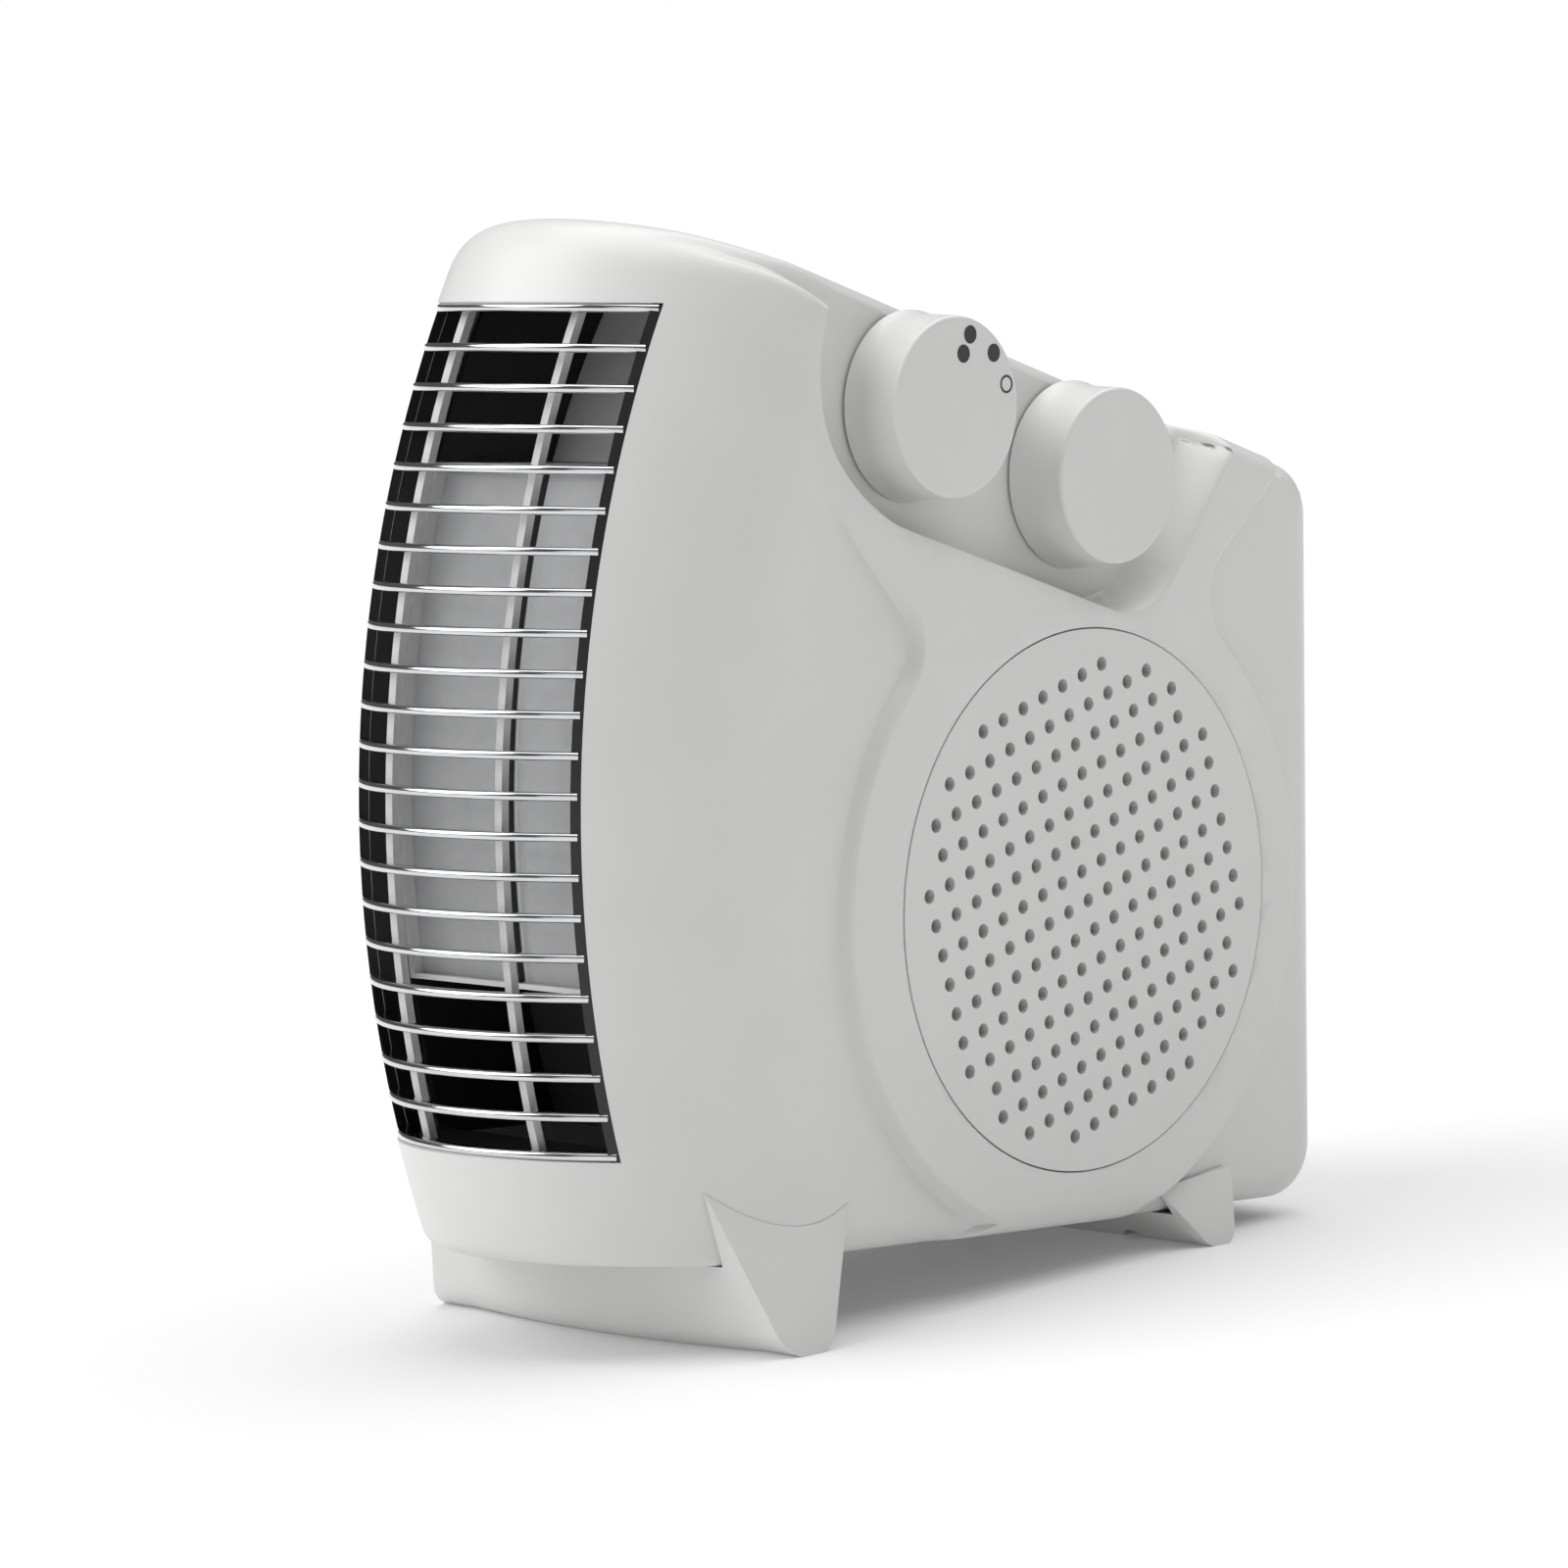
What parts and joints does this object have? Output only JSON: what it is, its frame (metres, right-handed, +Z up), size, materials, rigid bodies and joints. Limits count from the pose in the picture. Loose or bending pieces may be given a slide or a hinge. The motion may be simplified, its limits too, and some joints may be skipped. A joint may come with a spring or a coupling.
{
  "type": "ceramic space heater",
  "caption": "Upright ceramic fan heater: white curved casing on two feet, chrome louvre grille in front, round side air intakes and two side knobs.",
  "frame": {"origin": "centre of the bounding box's bottom, on the surface that both feet stand on", "axes": "+Z up, the outlet grille faces -Y, the knobs are on the +X side"},
  "size_m": [0.118, 0.2561, 0.2559],
  "materials": {
    "aluminium": "mill finish",
    "black_pa": "black glass-filled nylon",
    "brass": "stamped strip",
    "chrome_bar": "chrome plated",
    "cutout_ceramic": "glazed body",
    "dark_sheet": "dark grey coated sheet",
    "duct_sheet": "light grey coated sheet",
    "fan_plastic": "dark grey moulded",
    "lamination": "varnished stack",
    "magnet_wire": "enamelled copper winding",
    "phenolic": "cream thermoset",
    "ptc_stone": "sintered, metallised faces",
    "scroll_plastic": "light grey moulded",
    "white_abs": "satin white moulded ABS",
    "zinc_steel": "zinc plated"
  },
  "bodies": {
    "housing": {"main_shell": "white_abs", "left_cover": "white_abs", "intake_grille_right": "white_abs", "intake_grille_left": "white_abs", "grille_frame": "black_pa", "grille_bars": "chrome_bar", "grille_ribs": "scroll_plastic", "front_foot": "white_abs", "rear_foot": "white_abs", "foot_screws": "zinc_steel", "cover_screws": "zinc_steel", "cable_inlet": "black_pa", "heater_duct": "duct_sheet", "upper_baffles": "black_pa", "upper_back_plate": "duct_sheet", "lower_baffles": "black_pa", "lower_back_plate": "dark_sheet", "heater_end_frames": "black_pa", "heating_tubes": "aluminium", "heater_fins": "aluminium", "ceramic_stones": "ptc_stone", "electrode_strips": "brass", "thermal_cutout": "cutout_ceramic", "thermal_fuse": "brass", "scroll_wall": "scroll_plastic", "scroll_cheek_right": "scroll_plastic", "scroll_cheek_left": "scroll_plastic", "stator_stack": "lamination", "stator_coils": "magnet_wire", "motor_cap_right": "zinc_steel", "motor_cap_left": "zinc_steel", "shaft_bushes": "brass", "motor_mount": "zinc_steel", "motor_screws": "zinc_steel", "selector_switch": "phenolic", "thermostat_body": "phenolic", "control_screws": "zinc_steel", "terminal_block": "phenolic", "tilt_switch": "black_pa"},
    "selector": {"selector_knob": "white_abs", "selector_shaft": "white_abs"},
    "thermostat": {"thermostat_knob": "white_abs", "thermostat_shaft": "zinc_steel"},
    "fan": {"fan_drum": "fan_plastic", "motor_shaft": "zinc_steel", "rotor_core": "lamination"}
  },
  "joints": [
    {"name": "selector_turn", "type": "hinge", "parent": "housing", "child": "selector", "pos_m": [0.05, -0.00754, 0.20834], "axis": [1, 0, 0], "range_deg": [0, 60]},
    {"name": "thermostat_turn", "type": "hinge", "parent": "housing", "child": "thermostat", "pos_m": [0.05, 0.04761, 0.18777], "axis": [1, 0, 0], "range_deg": [-135, 135]},
    {"name": "fan_spin", "type": "hinge", "parent": "housing", "child": "fan", "pos_m": [0, 0.03483, 0.0888], "axis": [1, 0, 0], "continuous": true}
  ]
}
